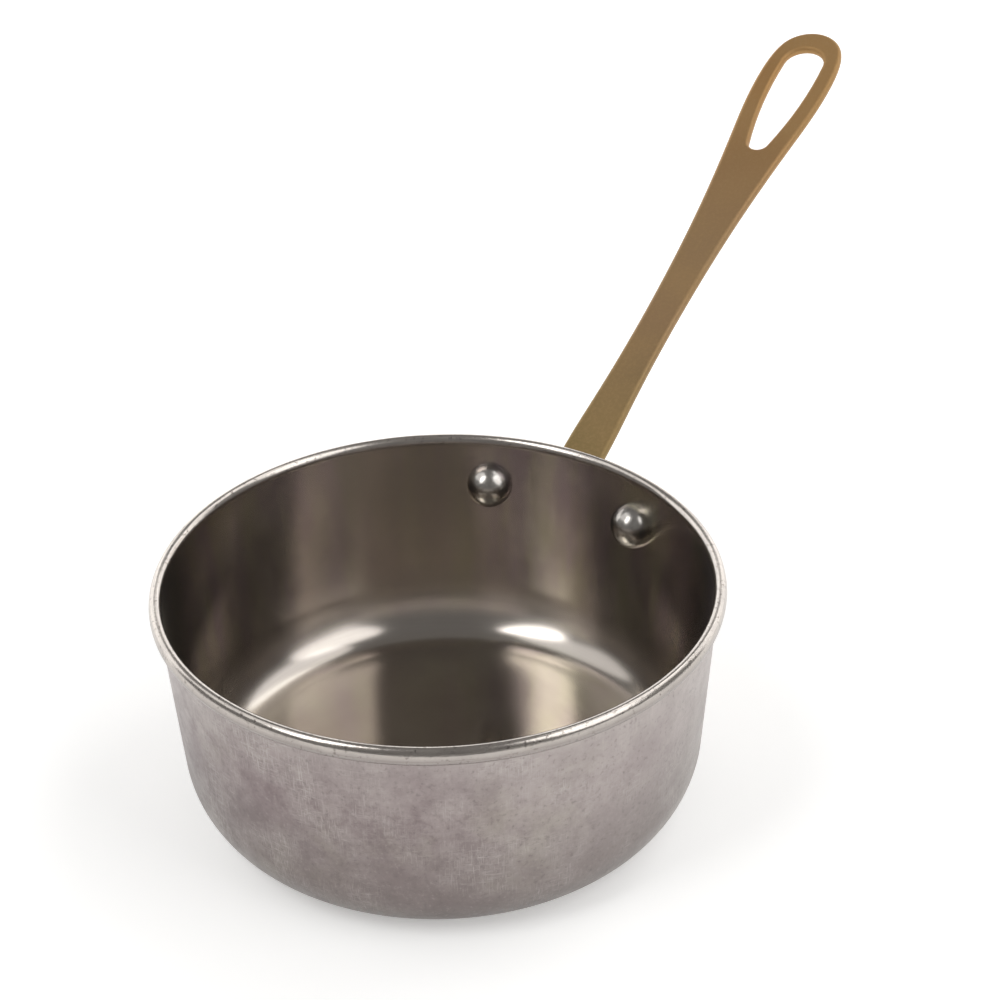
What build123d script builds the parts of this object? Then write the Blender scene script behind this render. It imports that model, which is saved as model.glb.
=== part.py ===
from build123d import *
import math
import os

# Small saucepan: a drawn steel pot with a cast brass handle on two rivets.
# Origin at the centre of the underside, +Z up, handle along +X, sizes in millimetres.

# Pot
rim_radius = 50.0  # outside of the rolled rim
pot_height = 43.0
sheet = 0.9
wall_taper = 3.85  # degrees, the wall opens upwards
base_flat_radius = 36.7
heel_radius = 9.1  # lower arc of the rounded corner
shoulder_radius = 14.4  # upper arc of the rounded corner
heel_end = 32.5  # degrees below level where one arc becomes the other
rim_width = 2.3  # section of the rolled rim
rim_depth = 3.26

# Handle
strap_slope = 24.3  # degrees above level
strap_axis_height = 15.1  # where the line of the strap would cross the pot's axis
strap_thickness = 2.0
strap_length = 180.2  # from the pot's axis, along the slope
strap_edge_round = 0.85
root_start = 49.0  # places along the strap are measured from the pot's axis
root_round = 5.5
neck_x = 59.0
neck_half_width = 4.4
flare_end = (74.0, 3.9)  # distance along the strap and half width, where the root's flare dies out
waist_x = 98.0
waist_half_width = 3.62
swelling = ((126.0, 4.85), (146.0, 6.8))  # the same two values, between the waist and the eye
eye_x = 164.5
eye_half_width = 8.3
tip_radius = 7.4
tip_half_angle = 62.0  # degrees of the round tip on each side of the centre line
hole_start = 143.7
hole_near_radius = 2.1
hole_far_radius = 4.4
hole_side_radius = 92.0  # long sides, bowed outwards
hole_end = 175.0
flange_thickness = 2.2
flange_depth = 11.4
flange_edge_round = 0.5
web_radius = 3.5  # hollow round under the strap, where it leaves the flange

# Rivets
rivet_height = 33.0
rivet_angle = 19.5  # degrees each side of the handle
shank_radius = 2.5
head_radius = 4.4
head_height = 4.2
tail_radius = 3.9
tail_height = 1.7
seat_depth = 0.25  # how far a head reaches past its level base to fill a curved seat

heel_centre = Vector(base_flat_radius, heel_radius)
turn = math.radians(heel_end)
shoulder_shift = heel_radius - shoulder_radius
shoulder_centre = heel_centre + Vector(math.cos(turn), -math.sin(turn)) * shoulder_shift
taper = math.radians(wall_taper)
wall_foot = shoulder_centre + Vector(math.cos(taper), -math.sin(taper)) * shoulder_radius
rim_centre = Vector(rim_radius - rim_width / 2, pot_height - rim_depth / 2)


def wall_radius(height):
    """Outside radius of the straight wall."""
    return wall_foot.X + (height - wall_foot.Y) * math.tan(taper)


def shell_face(inset):
    """Half section of everything inside the pot's outside surface, moved in by inset."""
    floor = Line((0, inset), (base_flat_radius, inset))
    heel = CenterArc(heel_centre, heel_radius - inset, -90, 90 - heel_end)
    shoulder = CenterArc(shoulder_centre, shoulder_radius - inset, -heel_end, heel_end - wall_taper)
    top_height = rim_centre.Y
    top_radius = wall_radius(top_height) - inset / math.cos(taper)
    wall = Line(shoulder @ 1, (top_radius, top_height))
    top = Polyline((top_radius, top_height), (0, top_height), (0, inset))
    return make_face([floor, heel, shoulder, wall, top.edges()[0], top.edges()[1]])


def make_pot():
    """Pot without its rivet holes."""
    rim = Pos(rim_centre) * Ellipse(rim_width / 2, rim_depth / 2)
    section = shell_face(0) - shell_face(sheet) + rim
    return revolve(Plane.XZ * section, Axis.Z)


def wall_cone(extra):
    """Solid cone out to the pot's wall plus extra, up to the rim."""
    low = wall_foot.Y
    high = pot_height
    offset = extra / math.cos(taper)
    corners = [
        (0, low),
        (wall_radius(low) + offset, low),
        (wall_radius(high) + offset, high),
        (0, high),
    ]
    return revolve(Plane.XZ * make_face(Polyline(*corners, close=True)), Axis.Z)


strap_angle = math.radians(strap_slope)
strap_plane = Plane(
    origin=(0, 0, strap_axis_height),
    x_dir=(math.cos(strap_angle), 0, math.sin(strap_angle)),
    z_dir=(-math.sin(strap_angle), 0, math.cos(strap_angle)),
)


def strap_outline():
    """One side of the strap in its own plane: root, hollow flare, waist and swelling eye."""
    flare_centre = Vector(neck_x, neck_half_width + root_round)
    flare_start = flare_centre - Vector(root_round, 0)
    tip_turn = math.radians(tip_half_angle)
    tip_tangent = (math.sin(tip_turn), -math.cos(tip_turn))
    root = Polyline((root_start, 0), (root_start, flare_start.Y), flare_start)
    flare = CenterArc(flare_centre, root_round, 180, 90)
    flank = Spline(
        [
            (neck_x, neck_half_width),
            flare_end,
            (waist_x, waist_half_width),
            *swelling,
            (eye_x, eye_half_width),
            tip_corner(1),
        ],
        tangents=[(1, 0), tip_tangent],
    )
    return root.edges() + [flare, flank]


def tip_corner(side):
    """Where the round tip begins, on side +1 or -1."""
    tip_turn = math.radians(tip_half_angle)
    centre_x = strap_length - tip_radius
    return Vector(centre_x + tip_radius * math.cos(tip_turn), side * tip_radius * math.sin(tip_turn))


def strap_plan():
    """Whole strap in its own plane, without the hole."""
    side = strap_outline()
    tip = ThreePointArc(tip_corner(1), (strap_length, 0), tip_corner(-1))
    return make_face(side + [mirror(edge, Plane.XZ) for edge in side] + [tip])


def teardrop():
    """Hanging hole: a small round end, a large round end, and bowed sides that run smoothly into both."""
    near = Vector(hole_start + hole_near_radius, 0)
    far = Vector(hole_end - hole_far_radius, 0)
    near_reach = hole_side_radius - hole_near_radius
    far_reach = hole_side_radius - hole_far_radius
    along = ((near_reach**2 - far_reach**2) / (far.X - near.X) + near.X + far.X) / 2
    centre = Vector(along, -math.sqrt(near_reach**2 - (along - near.X) ** 2))
    near_touch = near + (near - centre).normalized() * hole_near_radius
    far_touch = far + (far - centre).normalized() * hole_far_radius
    crown = centre + ((near_touch + far_touch) / 2 - centre).normalized() * hole_side_radius
    side = ThreePointArc(near_touch, crown, far_touch)
    near_cap = ThreePointArc(near_touch, (hole_start, 0), (near_touch.X, -near_touch.Y))
    far_cap = ThreePointArc(far_touch, (hole_end, 0), (far_touch.X, -far_touch.Y))
    return make_face([side, mirror(side, Plane.XZ), near_cap, far_cap])


def make_strap():
    """Flat strap with rounded edges, running on into the pot's side."""
    low = Pos(0, 0, -strap_thickness / 2)
    plate = extrude(low * strap_plan(), amount=strap_thickness)
    plate -= extrude(low * teardrop(), amount=strap_thickness)
    rims = plate.edges().filter_by(Plane.XY).filter_by(lambda edge: edge.center().X > neck_x)
    plate = fillet(rims, strap_edge_round)
    return strap_plane * plate


def make_flange():
    """Curved plate behind the wall, round at both ends about the rivets."""
    end_radius = flange_depth / 2
    reach = wall_radius(rivet_height) * math.sin(math.radians(rivet_angle))
    seen_from_behind = Plane(origin=(0, 0, rivet_height), x_dir=(0, 1, 0), z_dir=(1, 0, 0))
    outline = SlotOverall(2 * (reach + end_radius), flange_depth)
    column = extrude(seen_from_behind * outline, amount=2 * rim_radius)
    plate = (wall_cone(flange_thickness) - wall_cone(0)) & column
    middle_radius = wall_radius(rivet_height) + 0.7 * flange_thickness
    outer_rims = plate.edges().filter_by(
        lambda edge: math.hypot(edge.center().X, edge.center().Y) > middle_radius
    )
    return fillet(outer_rims, flange_edge_round)


def make_web():
    """Hollow round under the strap where it leaves the flange."""
    face_radius = wall_radius(rivet_height) + flange_thickness
    strap_low = strap_axis_height - strap_thickness / 2 / math.cos(strap_angle)
    corner = Vector(face_radius, strap_low + face_radius * math.tan(strap_angle))
    along = Vector(math.cos(strap_angle), math.sin(strap_angle))
    reach = web_radius / math.tan((math.pi / 2 + strap_angle) / 2)
    foot = corner - Vector(0, reach)
    toe = corner + along * reach
    into_flange = Vector(0.7 * flange_thickness, 0)
    hollow = RadiusArc(foot, toe, web_radius)
    back = Polyline(toe, corner + Vector(0, 0.1), corner - into_flange, foot - into_flange, foot)
    section = make_face([hollow] + back.edges())
    return extrude(Plane.XZ * section, amount=neck_half_width, both=True)


def make_handle():
    """Handle without its rivet holes."""
    return (make_strap() - wall_cone(0)) + make_flange() + make_web()


def rivet_plane(side):
    """Outside of the wall at a rivet, looking out along the rivet; side is +1 or -1."""
    radius = wall_radius(rivet_height)
    angle = math.radians(side * rivet_angle)
    outward = Vector(math.cos(angle), math.sin(angle), 0)
    normal = outward * math.cos(taper) - Vector(0, 0, math.sin(taper))
    return Plane(
        origin=outward * radius + Vector(0, 0, rivet_height),
        x_dir=(-math.sin(angle), math.cos(angle), 0),
        z_dir=normal,
    )


def dome(radius, height):
    """Round cap standing on the XY plane, with a short skirt below it to fill a curved seat."""
    side = ThreePointArc(*cap_points(radius, height))
    base = Polyline((radius, 0), (radius, -seat_depth), (0, -seat_depth), (0, height))
    return revolve(Plane.XZ * make_face([side] + base.edges()), Axis.Z)


def cap_points(radius, height):
    """Foot, middle and top of a round cap's outline."""
    ball = (radius**2 + height**2) / (2 * height)
    foot_angle = math.atan2(ball - height, radius)
    middle = (foot_angle + math.pi / 2) / 2
    return (radius, 0), (ball * math.cos(middle), height - ball + ball * math.sin(middle)), (0, height)


def make_rivet(side, pot, handle):
    """Rivet with a domed head inside the pot and a low closed head on the flange."""
    plane = rivet_plane(side)
    head_base = -sheet - seat_depth
    tail_base = flange_thickness - seat_depth
    head = plane * Pos(0, 0, head_base) * Rot(180, 0, 0) * dome(head_radius, head_height)
    tail = plane * Pos(0, 0, tail_base + seat_depth / 2) * dome(tail_radius, tail_height)
    return (head - pot) + (tail - handle) + make_shank(side)


def make_shank(side):
    """Rivet's shank, from inside one head to inside the other."""
    start = -sheet - seat_depth - 1
    length = flange_thickness + 1 - start
    bar = Cylinder(shank_radius, length, align=(Align.CENTER, Align.CENTER, Align.MIN))
    return rivet_plane(side) * Pos(0, 0, start) * bar


pot_body = make_pot()
handle = make_handle()
rivets = {"rivet_left": make_rivet(1, pot_body, handle), "rivet_right": make_rivet(-1, pot_body, handle)}
for side in (1, -1):
    pot_body -= make_shank(side)
    handle -= make_shank(side)

os.makedirs("parts", exist_ok=True)
nodes = {"pot_body": pot_body, "handle": handle, **rivets}
for name, shape in nodes.items():
    export_step(shape, f"parts/{name}.step")
    print(f"{name}: {shape.volume / 1000:.2f} cm3")
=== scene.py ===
"""Looks for a small steel saucepan with a cast brass handle on two rivets.

Metres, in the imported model's frame: origin at the centre of the underside, +Z up, handle along +X.
"""
import math

import bmesh
import bpy
from mathutils import Matrix, Vector


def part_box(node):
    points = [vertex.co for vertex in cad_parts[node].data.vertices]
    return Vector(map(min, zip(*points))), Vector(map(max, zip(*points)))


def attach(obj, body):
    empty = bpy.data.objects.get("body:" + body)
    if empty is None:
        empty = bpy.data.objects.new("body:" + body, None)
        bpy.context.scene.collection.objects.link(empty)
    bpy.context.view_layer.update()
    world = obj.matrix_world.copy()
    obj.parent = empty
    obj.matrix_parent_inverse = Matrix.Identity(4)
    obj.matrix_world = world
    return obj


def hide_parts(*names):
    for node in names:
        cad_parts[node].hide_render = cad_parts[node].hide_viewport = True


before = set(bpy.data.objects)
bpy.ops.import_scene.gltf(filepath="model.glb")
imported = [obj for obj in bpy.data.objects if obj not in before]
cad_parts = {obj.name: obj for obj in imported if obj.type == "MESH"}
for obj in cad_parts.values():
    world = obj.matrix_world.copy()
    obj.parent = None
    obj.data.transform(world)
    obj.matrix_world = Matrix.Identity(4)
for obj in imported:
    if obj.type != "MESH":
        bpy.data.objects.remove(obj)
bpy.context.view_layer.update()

MM = 0.001
pot_low, pot_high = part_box("pot_body")

# The pot's own dimensions, in millimetres
RIM_RADIUS = pot_high.x / MM
POT_HEIGHT = pot_high.z / MM
SHEET = 0.9
WALL_TAPER = math.radians(3.85)
BASE_FLAT_RADIUS = 36.7
HEEL_RADIUS = 9.1
SHOULDER_RADIUS = 14.4
HEEL_END = math.radians(32.5)
RIM_WIDTH = 2.3
RIM_DEPTH = 3.26
GROOVE_LEVEL = 0.62  # where the wall meets the roll, as a share of the roll's half depth
SEAM_OUT = 0.08  # step from the wall out to the roll
SEAM_UP = 0.05
POT_SEGMENTS = 288

# The rivets' dimensions, in millimetres
RIVET_HEIGHT = 33.0
RIVET_ANGLE = math.radians(19.5)
HEAD_RADIUS = 4.4
HEAD_HEIGHT = 4.2
TAIL_RADIUS = 3.9
TAIL_HEIGHT = 1.7
SHANK_RADIUS = 2.5
FLANGE_THICKNESS = 2.2
SEAT_DEPTH = 0.25
RIVET_SEGMENTS = 64

# Where the painted highlights and shade sit round the pot, degrees from +X
HIGHLIGHT_SIDE = -57.5
WALL_SHADE_BEARING = 58.0
WALL_HIGHLIGHT_BEARING = 37.0

# Viewpoint; angles in radians
CAMERA_AZIMUTH = math.radians(-57.5)  # 0 looks along +Y
CAMERA_DISTANCE = 0.36476  # from the middle of the rim
CAMERA_ELEVATION = 0.580
CAMERA_YAW = 0.036
CAMERA_PITCH = 0.546
CAMERA_ROLL = -0.019
CAMERA_LENS = 75.6
LIGHT_DISTANCE = 1.3
FLOOR_SIZE = 40.0


# Node helpers ---------------------------------------------------------------------------------

def new_material(name):
    """An empty node material and its principled shader."""
    material = bpy.data.materials.new(name)
    material.use_nodes = True
    tree = material.node_tree
    tree.nodes.clear()
    shader = tree.nodes.new("ShaderNodeBsdfPrincipled")
    output = tree.nodes.new("ShaderNodeOutputMaterial")
    tree.links.new(shader.outputs[0], output.inputs[0])
    return material, tree, shader


def link(tree, source, target):
    """Joins an output socket to an input socket."""
    tree.links.new(source, target)


def math_node(tree, operation, first, second):
    """A Math node; each input is a socket or a number."""
    node = tree.nodes.new("ShaderNodeMath")
    node.operation = operation
    for socket, value in zip(node.inputs, (first, second)):
        if isinstance(value, (int, float)):
            socket.default_value = value
        else:
            link(tree, value, socket)
    return node.outputs[0]


def noise(tree, vector, scale, detail, roughness):
    """Grey noise over a vector, about 0.5."""
    node = tree.nodes.new("ShaderNodeTexNoise")
    node.inputs["Scale"].default_value = scale
    node.inputs["Detail"].default_value = detail
    node.inputs["Roughness"].default_value = roughness
    link(tree, vector, node.inputs["Vector"])
    return node.outputs[0]


def spread(tree, value, low, high, out_low=0.0, out_high=1.0):
    """Maps a value's range low..high on to out_low..out_high, held at both ends."""
    node = tree.nodes.new("ShaderNodeMapRange")
    for socket, number in zip(node.inputs[1:5], (low, high, out_low, out_high)):
        socket.default_value = number
    link(tree, value, node.inputs[0])
    return node.outputs[0]


def mix_colour(tree, factor, first, second):
    """Blends two colours; each is a socket or an RGB tuple."""
    node = tree.nodes.new("ShaderNodeMix")
    node.data_type = "RGBA"
    link(tree, factor, node.inputs[0])
    for socket, value in ((node.inputs[6], first), (node.inputs[7], second)):
        if isinstance(value, tuple):
            socket.default_value = (*value, 1.0)
        else:
            link(tree, value, socket)
    return node.outputs[2]


def object_point(tree):
    """The point in the row frame, in metres."""
    return tree.nodes.new("ShaderNodeTexCoord").outputs["Object"]


def split(tree, vector):
    """The three parts of a vector."""
    node = tree.nodes.new("ShaderNodeSeparateXYZ")
    link(tree, vector, node.inputs[0])
    return node.outputs


def join(tree, x, y, z):
    """A vector from three sockets."""
    node = tree.nodes.new("ShaderNodeCombineXYZ")
    for socket, value in zip(node.inputs, (x, y, z)):
        link(tree, value, socket)
    return node.outputs[0]


def flatten(tree, x, y, z):
    """The point's offset from the pot's axis, as a level vector."""
    return join(tree, x, y, math_node(tree, "MULTIPLY", z, 0.0))


def ring_vector(tree, around, along):
    """Lathe coordinates with no seam: direction round the axis, and distance along the section."""
    x, y, z = split(tree, object_point(tree))
    length = tree.nodes.new("ShaderNodeVectorMath")
    length.operation = "LENGTH"
    link(tree, flatten(tree, x, y, z), length.inputs[0])
    radius = math_node(tree, "MAXIMUM", length.outputs["Value"], 1e-5)
    run = math_node(tree, "ADD", radius, z)
    return join(
        tree,
        math_node(tree, "MULTIPLY", math_node(tree, "DIVIDE", x, radius), around),
        math_node(tree, "MULTIPLY", math_node(tree, "DIVIDE", y, radius), around),
        math_node(tree, "MULTIPLY", run, along),
    )


def facing(tree, bearing):
    """Cosine between the point's direction from the pot's axis and a fixed bearing in degrees."""
    unit = tree.nodes.new("ShaderNodeVectorMath")
    unit.operation = "NORMALIZE"
    link(tree, flatten(tree, *split(tree, object_point(tree))), unit.inputs[0])
    dot = tree.nodes.new("ShaderNodeVectorMath")
    dot.operation = "DOT_PRODUCT"
    link(tree, unit.outputs[0], dot.inputs[0])
    angle = math.radians(bearing)
    dot.inputs[1].default_value = (math.cos(angle), math.sin(angle), 0.0)
    return dot.outputs["Value"]


def stretched(tree, x, y, z):
    """Object point scaled by three factors."""
    node = tree.nodes.new("ShaderNodeVectorMath")
    node.operation = "MULTIPLY"
    link(tree, object_point(tree), node.inputs[0])
    node.inputs[1].default_value = (x, y, z)
    return node.outputs[0]


def bump(tree, height, distance, strength, normal=None):
    """A Bump node's normal, on top of an earlier one if given."""
    node = tree.nodes.new("ShaderNodeBump")
    node.inputs["Strength"].default_value = strength
    node.inputs["Distance"].default_value = distance
    link(tree, height, node.inputs["Height"])
    if normal is not None:
        link(tree, normal, node.inputs["Normal"])
    return node.outputs[0]


# Materials ------------------------------------------------------------------------------------

def scratches(tree, around, along, rarity):
    """Fine lines on the turned surface: bright where the stretched noise peaks, gathered in patches."""
    fine = noise(tree, ring_vector(tree, around, along), 1.0, 3.0, 0.65)
    lines = spread(tree, fine, rarity, rarity + 0.09)
    patch = spread(tree, noise(tree, object_point(tree), 75.0, 3.0, 0.6), 0.42, 0.66)
    return math_node(tree, "MULTIPLY", lines, patch)


def worn_steel():
    """Outside of the pot: satin steel with mauve and grey stains, mottled and finely scratched, with
    painted highlights on one side and just under the rim, and painted shade towards the foot.
    """
    material, tree, shader = new_material("steel_outside")
    shader.inputs["Metallic"].default_value = 1.0
    point = object_point(tree)
    stain = noise(tree, point, 38.0, 5.0, 0.66)
    mottle = noise(tree, point, 230.0, 5.0, 0.72)
    colour = mix_colour(tree, spread(tree, stain, 0.37, 0.63), (0.242, 0.192, 0.196), (0.348, 0.304, 0.292))
    warm = noise(tree, stretched(tree, 52.0, 52.0, 60.0), 1.0, 4.0, 0.6)
    colour = mix_colour(tree, spread(tree, warm, 0.54, 0.70, 0.0, 0.5), colour, (0.315, 0.288, 0.238))
    colour = mix_colour(tree, spread(tree, mottle, 0.42, 0.62, 0.0, 0.64), colour, (0.200, 0.158, 0.160))
    # painted highlight: the outside is painted lighter on one side of the pot
    side_highlight = spread(tree, facing(tree, HIGHLIGHT_SIDE), -0.05, 0.85, 0.0, 0.48)
    colour = mix_colour(tree, side_highlight, colour, (0.545, 0.500, 0.478))
    height = split(tree, point)[2]
    lifted = math_node(tree, "ADD", height, math_node(tree, "MULTIPLY", stain, 0.012))
    # painted highlight: the wall is painted lighter just under the rim
    colour = mix_colour(tree, spread(tree, lifted, 0.034, 0.046, 0.0, 0.34), colour, (0.520, 0.480, 0.455))
    # painted shade: the wall is painted darker towards the foot, standing in for the shadowed floor it
    # reflects
    colour = mix_colour(tree, spread(tree, lifted, 0.008, 0.034, 0.70, 0.0), colour, (0.190, 0.172, 0.158))
    upright = scratches(tree, 250.0, 300.0, 0.54)
    level = scratches(tree, 18.0, 3400.0, 0.56)
    lines = math_node(tree, "MAXIMUM", upright, level)
    colour = mix_colour(tree, math_node(tree, "MULTIPLY", lines, 0.54), colour, (0.52, 0.48, 0.458))
    speck = noise(tree, point, 1300.0, 3.0, 0.6)
    colour = mix_colour(tree, spread(tree, speck, 0.56, 0.72, 0.0, 0.38), colour, (0.14, 0.12, 0.118))
    colour = mix_colour(tree, spread(tree, speck, 0.43, 0.28, 0.0, 0.20), colour, (0.48, 0.44, 0.42))
    link(tree, colour, shader.inputs["Base Color"])
    rough = math_node(tree, "ADD", spread(tree, mottle, 0.35, 0.65, 0.32, 0.40),
                      math_node(tree, "MULTIPLY", lines, -0.03))
    link(tree, rough, shader.inputs["Roughness"])
    relief = bump(tree, lines, 0.00003, 0.5)
    relief = bump(tree, mottle, 0.00005, 0.45, relief)
    link(tree, bump(tree, speck, 0.00003, 0.5, relief), shader.inputs["Normal"])
    return material


def polished_rim():
    """Rolled rim: lighter on top, with painted shade on the lower half of the roll, and small nicks."""
    material, tree, shader = new_material("steel_rim")
    shader.inputs["Metallic"].default_value = 1.0
    point = object_point(tree)
    grain = noise(tree, ring_vector(tree, 7.0, 5200.0), 1.0, 2.0, 0.5)
    nick = noise(tree, point, 1300.0, 3.0, 0.6)
    wear = noise(tree, point, 160.0, 4.0, 0.65)
    height = math_node(tree, "ADD", split(tree, point)[2], math_node(tree, "MULTIPLY", wear, 0.0012))
    # painted shade: the lower half of the roll is painted darker than its top
    top = spread(tree, height, (POT_HEIGHT - 1.3) * MM, (POT_HEIGHT + 0.1) * MM)
    colour = mix_colour(tree, top, (0.325, 0.290, 0.272), (0.60, 0.555, 0.510))
    colour = mix_colour(tree, spread(tree, grain, 0.42, 0.66, 0.0, 0.6), colour, (0.42, 0.385, 0.365))
    colour = mix_colour(tree, spread(tree, nick, 0.59, 0.70, 0.0, 0.7), colour, (0.17, 0.145, 0.13))
    link(tree, colour, shader.inputs["Base Color"])
    link(tree, spread(tree, top, 0.0, 1.0, 0.26, 0.215), shader.inputs["Roughness"])
    relief = bump(tree, grain, 0.00003, 0.5)
    relief = bump(tree, wear, 0.00008, 0.25, relief)
    link(tree, bump(tree, nick, 0.00004, 0.5, relief), shader.inputs["Normal"])
    return material


def spun_steel():
    """Inside of the pot: fine rings left by polishing, brown on the wall and brighter on the floor, with a
    band of painted shade and a band of painted highlight on the wall.
    """
    material, tree, shader = new_material("steel_inside")
    shader.inputs["Metallic"].default_value = 1.0
    shader.inputs["Anisotropic"].default_value = 0.8
    shader.inputs["Anisotropic Rotation"].default_value = 0.25
    tangent = tree.nodes.new("ShaderNodeTangent")
    tangent.direction_type = "RADIAL"
    tangent.axis = "Z"
    link(tree, tangent.outputs[0], shader.inputs["Tangent"])
    rings = noise(tree, ring_vector(tree, 3.0, 4200.0), 1.0, 3.0, 0.6)
    cloud = noise(tree, object_point(tree), 45.0, 3.0, 0.5)
    smear = noise(tree, stretched(tree, 110.0, 110.0, 55.0), 1.0, 4.0, 0.6)
    wall = mix_colour(tree, spread(tree, smear, 0.36, 0.64), (0.320, 0.275, 0.268), (0.510, 0.468, 0.425))
    streak = noise(tree, ring_vector(tree, 8.0, 30.0), 1.0, 4.0, 0.6)
    wall = mix_colour(tree, spread(tree, streak, 0.47, 0.66, 0.0, 0.75), wall, (0.435, 0.425, 0.315))
    wall = mix_colour(tree, spread(tree, streak, 0.50, 0.33, 0.0, 0.75), wall, (0.375, 0.310, 0.350))
    # painted shade: a narrow band of the inner wall is painted darker
    wall_shade = spread(tree, facing(tree, WALL_SHADE_BEARING), 0.95, 0.99, 0.0, 0.55)
    wall = mix_colour(tree, wall_shade, wall, (0.255, 0.215, 0.208))
    # painted highlight: a narrow band of the inner wall is painted lighter
    wall_highlight = spread(tree, facing(tree, WALL_HIGHLIGHT_BEARING), 0.955, 0.992, 0.0, 0.60)
    wall = mix_colour(tree, wall_highlight, wall, (0.640, 0.560, 0.490))
    bend = mix_colour(tree, spread(tree, cloud, 0.35, 0.65), (0.46, 0.42, 0.385), (0.51, 0.475, 0.43))
    floor = mix_colour(tree, spread(tree, cloud, 0.35, 0.65), (0.455, 0.405, 0.360), (0.52, 0.490, 0.420))
    height = split(tree, object_point(tree))[2]
    colour = mix_colour(tree, spread(tree, height, 0.0011, 0.0024), floor, bend)
    colour = mix_colour(tree, spread(tree, height, 0.006, 0.016), colour, wall)
    colour = mix_colour(tree, spread(tree, rings, 0.4, 0.62, 0.0, 0.25), colour, (0.40, 0.36, 0.33))
    link(tree, colour, shader.inputs["Base Color"])
    polish = math_node(tree, "ADD", spread(tree, height, 0.0011, 0.004, 0.14, 0.22),
                       spread(tree, cloud, 0.35, 0.65, -0.01, 0.015))
    link(tree, polish, shader.inputs["Roughness"])
    link(tree, bump(tree, rings, 0.000004, 0.4), shader.inputs["Normal"])
    return material


def cast_brass():
    """Handle: dull toned brass, olive by the pot and more orange at the eye, with a fine cast grain."""
    material, tree, shader = new_material("brass_handle")
    shader.inputs["Metallic"].default_value = 0.75
    point = object_point(tree)
    cloud = noise(tree, point, 60.0, 4.0, 0.55)
    grain = noise(tree, point, 1500.0, 3.0, 0.6)
    reach = split(tree, point)[0]
    from_root = spread(tree, reach, 0.055, 0.085)
    colour = mix_colour(tree, from_root, (0.290, 0.210, 0.088), (0.360, 0.232, 0.122))
    colour = mix_colour(tree, spread(tree, reach, 0.105, 0.145), colour, (0.450, 0.258, 0.100))
    colour = mix_colour(tree, spread(tree, cloud, 0.38, 0.65, 0.0, 0.40), colour, (0.400, 0.265, 0.120))
    colour = mix_colour(tree, spread(tree, grain, 0.45, 0.7, 0.0, 0.35), colour, (0.46, 0.300, 0.140))
    link(tree, colour, shader.inputs["Base Color"])
    link(tree, spread(tree, cloud, 0.3, 0.7, 0.50, 0.62), shader.inputs["Roughness"])
    link(tree, bump(tree, grain, 0.00004, 0.5), shader.inputs["Normal"])
    return material


def rivet_steel():
    """Rivet heads: bright, with faint tooling marks."""
    material, tree, shader = new_material("steel_rivet")
    shader.inputs["Metallic"].default_value = 1.0
    marks = noise(tree, object_point(tree), 700.0, 3.0, 0.5)
    colour = mix_colour(tree, spread(tree, marks, 0.35, 0.7), (0.54, 0.52, 0.49), (0.40, 0.38, 0.355))
    link(tree, colour, shader.inputs["Base Color"])
    link(tree, spread(tree, marks, 0.3, 0.7, 0.24, 0.262), shader.inputs["Roughness"])
    link(tree, bump(tree, marks, 0.00003, 0.3), shader.inputs["Normal"])
    return material


# Sections -------------------------------------------------------------------------------------

def arc(centre, radius, start, end, steps):
    """Points of an arc in the section plane, ends included; angles in radians from level."""
    angles = [start + (end - start) * i / steps for i in range(steps + 1)]
    return [(centre[0] + radius * math.cos(a), centre[1] + radius * math.sin(a)) for a in angles]


def straight(start, end, steps):
    """Points from start to end, the start left out."""
    return [
        tuple(a + (b - a) * i / steps for a, b in zip(start, end))
        for i in range(1, steps + 1)
    ]


heel_centre = (BASE_FLAT_RADIUS, HEEL_RADIUS)
arc_shift = HEEL_RADIUS - SHOULDER_RADIUS
shoulder_centre = (
    heel_centre[0] + arc_shift * math.cos(HEEL_END),
    heel_centre[1] - arc_shift * math.sin(HEEL_END),
)
wall_foot = (
    shoulder_centre[0] + SHOULDER_RADIUS * math.cos(WALL_TAPER),
    shoulder_centre[1] - SHOULDER_RADIUS * math.sin(WALL_TAPER),
)
rim_centre = (RIM_RADIUS - RIM_WIDTH / 2, POT_HEIGHT - RIM_DEPTH / 2)


def wall_radius(height):
    """Outside radius of the straight wall."""
    return wall_foot[0] + (height - wall_foot[1]) * math.tan(WALL_TAPER)


def skin(inset):
    """Half section from the centre of the base to the foot of the wall, moved in by inset."""
    floor = straight((0.0, inset), (BASE_FLAT_RADIUS, inset), 24)[:-1]
    heel = arc(heel_centre, HEEL_RADIUS - inset, -math.pi / 2, -HEEL_END, 20)
    shoulder = arc(shoulder_centre, SHOULDER_RADIUS - inset, -HEEL_END, -WALL_TAPER, 12)
    return floor + heel + shoulder[1:]


def rim_arc(start, end, steps):
    """Part of the rolled rim's section; angles in degrees from outwards, anticlockwise."""
    angles = [math.radians(start + (end - start) * i / steps) for i in range(steps + 1)]
    return [
        (rim_centre[0] + RIM_WIDTH / 2 * math.cos(a), rim_centre[1] + RIM_DEPTH / 2 * math.sin(a))
        for a in angles
    ]


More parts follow.
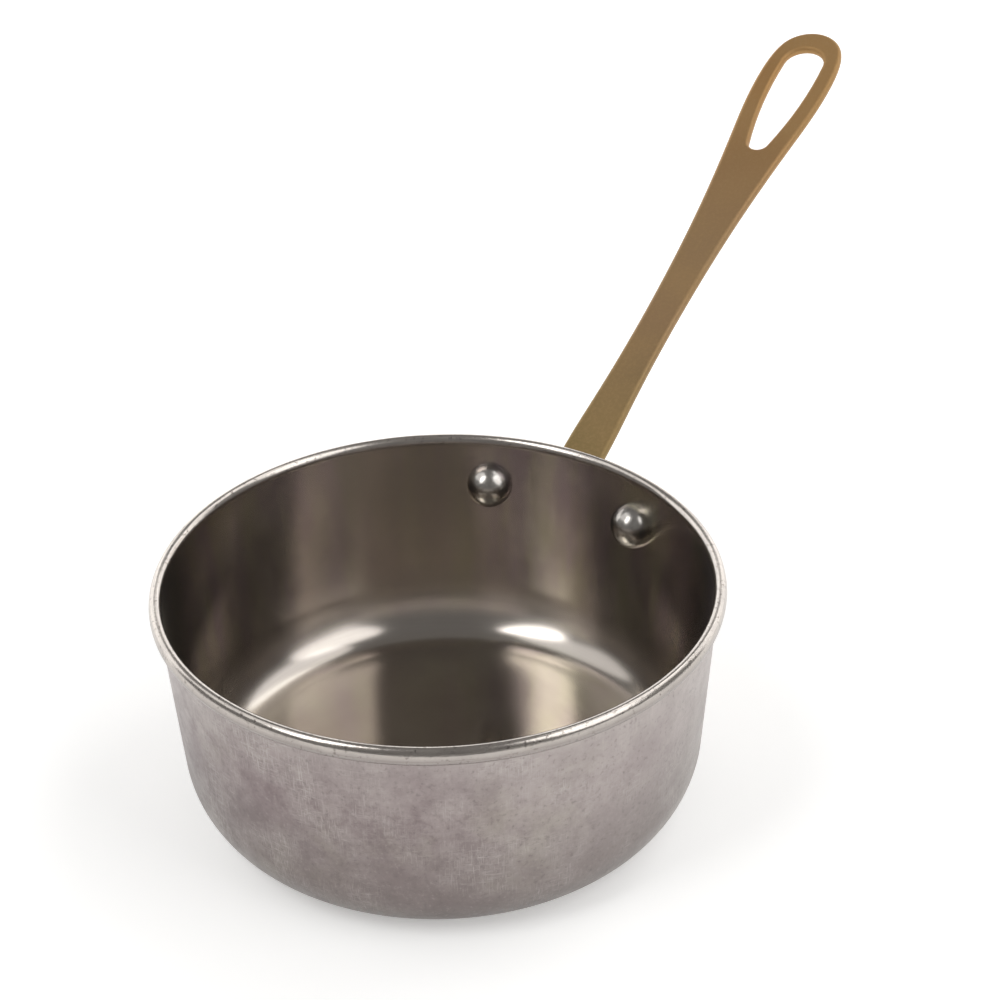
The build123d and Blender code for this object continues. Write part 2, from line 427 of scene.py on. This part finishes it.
def lathe(name, stretches, segments, materials):
    """Closed turned mesh. Each stretch is (points, material index); it starts where the last ended."""
    mesh_data = bmesh.new()
    rings = [point for points, _ in stretches for point in points]
    bands = [index for points, index in stretches for _ in points]
    first = mesh_data.verts.new((0, 0, rings[0][1] * MM))
    loops = []
    for radius, height in rings[1:-1]:
        loop = [
            mesh_data.verts.new(
                (
                    radius * MM * math.cos(2 * math.pi * i / segments),
                    radius * MM * math.sin(2 * math.pi * i / segments),
                    height * MM,
                )
            )
            for i in range(segments)
        ]
        loops.append(loop)
    last = mesh_data.verts.new((0, 0, rings[-1][1] * MM))
    for i in range(segments):
        j = (i + 1) % segments
        face = mesh_data.faces.new((first, loops[0][j], loops[0][i]))
        face.material_index = bands[1]
        face = mesh_data.faces.new((last, loops[-1][i], loops[-1][j]))
        face.material_index = bands[-1]
        for k in range(len(loops) - 1):
            face = mesh_data.faces.new((loops[k][i], loops[k][j], loops[k + 1][j], loops[k + 1][i]))
            face.material_index = bands[k + 2]
    for face in mesh_data.faces:
        face.smooth = True
    return finish_mesh(name, mesh_data, materials)


def finish_mesh(name, mesh_data, materials):
    """Object made from a bmesh, which is freed."""
    bmesh.ops.recalc_face_normals(mesh_data, faces=mesh_data.faces)
    mesh = bpy.data.meshes.new(name)
    mesh_data.to_mesh(mesh)
    mesh_data.free()
    piece = bpy.data.objects.new(name, mesh)
    bpy.context.scene.collection.objects.link(piece)
    for material in materials:
        mesh.materials.append(material)
    return piece


# Pieces ---------------------------------------------------------------------------------------

def make_pot():
    """Drawn shell with a rolled rim: outside, rim and inside in one closed section."""
    outside = [(0.0, 0.0)] + skin(0.0)
    groove_top = rim_centre[1] - GROOVE_LEVEL * RIM_DEPTH / 2
    wall_top = (wall_radius(groove_top), groove_top)
    outside += straight(outside[-1], wall_top, 24)
    seam = [(wall_top[0] + SEAM_OUT, groove_top + SEAM_UP)]
    roll = rim_arc(264, 270, 1) + rim_arc(270, 540, 54)[1:]
    inside_foot = skin(SHEET)
    inner_wall = straight(roll[-1], inside_foot[-1], 24)
    inside = inner_wall + inside_foot[::-1][1:] + [(0.0, SHEET)]
    stretches = [(outside, 0), (seam + roll, 1), (inside, 2)]
    return lathe("pot", stretches, POT_SEGMENTS, [worn_steel(), polished_rim(), spun_steel()])


def cap(radius, height, steps):
    """Section of a round cap from its edge to its top."""
    ball = (radius**2 + height**2) / (2 * height)
    start = math.atan2(ball - height, radius)
    return arc((0.0, height - ball), ball, start, math.pi / 2, steps)


def make_rivet(name, side, material):
    """Domed head inside the pot, shank, and low closed head on the flange."""
    head_base = -(SHEET + SEAT_DEPTH)
    tail_base = FLANGE_THICKNESS - SEAT_DEPTH / 2
    skirt = SEAT_DEPTH * 2
    head = [(r, head_base - h) for r, h in cap(HEAD_RADIUS, HEAD_HEIGHT, 20)]
    tail = [(r, tail_base + h) for r, h in cap(TAIL_RADIUS, TAIL_HEIGHT, 14)]
    section = head[::-1]
    section += [(HEAD_RADIUS, head_base + skirt), (SHANK_RADIUS, head_base + skirt)]
    section += [(SHANK_RADIUS, tail_base - skirt), (TAIL_RADIUS, tail_base - skirt)]
    section += tail
    section[0] = (0.0, section[0][1])
    section[-1] = (0.0, section[-1][1])
    rivet = lathe(name, [(section, 0)], RIVET_SEGMENTS, [material])
    radius = wall_radius(RIVET_HEIGHT)
    angle = side * RIVET_ANGLE
    outward = Vector((math.cos(angle), math.sin(angle), 0.0))
    normal = outward * math.cos(WALL_TAPER) - Vector((0, 0, math.sin(WALL_TAPER)))
    place = Matrix.Translation((outward * radius + Vector((0, 0, RIVET_HEIGHT))) * MM)
    turn = Vector((0, 0, 1)).rotation_difference(normal).to_matrix().to_4x4()
    rivet.data.transform(place @ turn)
    return rivet


# Stage ----------------------------------------------------------------------------------------

def make_floor():
    """Plain pale floor, large enough to fill every view from above. It glows a little."""
    data = bmesh.new()
    bmesh.ops.create_grid(data, x_segments=8, y_segments=8, size=FLOOR_SIZE)
    material, _, shader = new_material("floor")
    shader.inputs["Base Color"].default_value = (0.93, 0.93, 0.925, 1)
    shader.inputs["Roughness"].default_value = 0.9
    shader.inputs["Specular IOR Level"].default_value = 0.1
    shader.inputs["Emission Color"].default_value = (1.0, 1.0, 0.99, 1)
    shader.inputs["Emission Strength"].default_value = 0.34
    finish_mesh("floor", data, [material])


def make_world():
    """Dim, slightly warm surroundings."""
    world = bpy.data.worlds.new("studio")
    bpy.context.scene.world = world
    world.use_nodes = True
    background = world.node_tree.nodes["Background"]
    background.inputs[0].default_value = (1.0, 0.98, 0.96, 1)
    background.inputs[1].default_value = 0.22


def softbox(name, azimuth, elevation, width, height, radiance, shape="ELLIPSE"):
    """Flat light aimed at the pot. All but the radiance are degrees as seen from the pot;
    azimuth is measured from the camera's viewing direction, positive to the right."""
    heading = CAMERA_AZIMUTH - math.radians(azimuth)
    up = math.radians(elevation)
    away = Vector((-math.sin(heading) * math.cos(up), math.cos(heading) * math.cos(up), math.sin(up)))
    data = bpy.data.lights.new(name, "AREA")
    data.shape = shape
    data.size = 2 * LIGHT_DISTANCE * math.tan(math.radians(width * math.cos(up) / 2))
    data.size_y = 2 * LIGHT_DISTANCE * math.tan(math.radians(height / 2))
    area = data.size * data.size_y * (math.pi / 4 if shape == "ELLIPSE" else 1.0)
    data.energy = radiance * math.pi * area
    lamp = bpy.data.objects.new(name, data)
    lamp.location = Vector((0, 0, POT_HEIGHT * MM / 2)) + away * LIGHT_DISTANCE
    lamp.rotation_mode = "QUATERNION"
    lamp.rotation_quaternion = away.to_track_quat("Z", "Y")
    lamp.visible_camera = False
    bpy.context.scene.collection.objects.link(lamp)


def make_lights():
    """Soft boxes on both sides of the pot, and a row of low pale panels beyond it."""
    softbox("left_box", -121, 50, 29, 38, 4.2)
    softbox("left_fill", -84, 50, 54, 45, 0.9)
    softbox("right_box", 120, 40, 47, 50, 1.9)
    softbox("right_fill", 72, 53, 67, 36, 1.2)
    softbox("right_edge", 48, 45, 18, 34, 0.95)
    for number, azimuth in enumerate((-48, 0, 48)):
        softbox(f"backdrop_{number}", azimuth, 13, 48, 42, 1.35, "RECTANGLE")


def make_camera():
    """Camera looking down into the pot, with the handle pointing away to the right."""
    camera_data = bpy.data.cameras.new("camera")
    camera_data.lens = CAMERA_LENS
    camera_data.clip_start = 0.01
    camera = bpy.data.objects.new("camera", camera_data)
    bpy.context.scene.collection.objects.link(camera)
    bpy.context.scene.camera = camera
    # Built for a camera on the -Y side, then turned about the pot's axis.
    forward = Vector((
        math.sin(CAMERA_YAW) * math.cos(CAMERA_PITCH),
        math.cos(CAMERA_YAW) * math.cos(CAMERA_PITCH),
        -math.sin(CAMERA_PITCH),
    ))
    level = Vector((math.cos(CAMERA_YAW), -math.sin(CAMERA_YAW), 0))
    upright = level.cross(forward)
    right = level * math.cos(CAMERA_ROLL) + upright * math.sin(CAMERA_ROLL)
    up = upright * math.cos(CAMERA_ROLL) - level * math.sin(CAMERA_ROLL)
    turn = Matrix((right, up, -forward)).transposed()
    place = Vector((
        0,
        -CAMERA_DISTANCE * math.cos(CAMERA_ELEVATION),
        POT_HEIGHT * MM + CAMERA_DISTANCE * math.sin(CAMERA_ELEVATION),
    ))
    swing = Matrix.Rotation(CAMERA_AZIMUTH, 4, "Z")
    camera.matrix_world = swing @ Matrix.Translation(place) @ turn.to_4x4()


# Assembly -------------------------------------------------------------------------------------

make_camera()
make_world()
make_lights()
make_floor()

pot = make_pot()
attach(pot, "root")
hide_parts("pot_body")

rivet_material = rivet_steel()
for node, side in (("rivet_left", 1), ("rivet_right", -1)):
    rivet = make_rivet(node + "_polished", side, rivet_material)
    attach(rivet, "root")
    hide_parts(node)

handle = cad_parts["handle"]
handle.data.materials.clear()
handle.data.materials.append(cast_brass())

scene = bpy.context.scene
scene.view_settings.view_transform = "Standard"
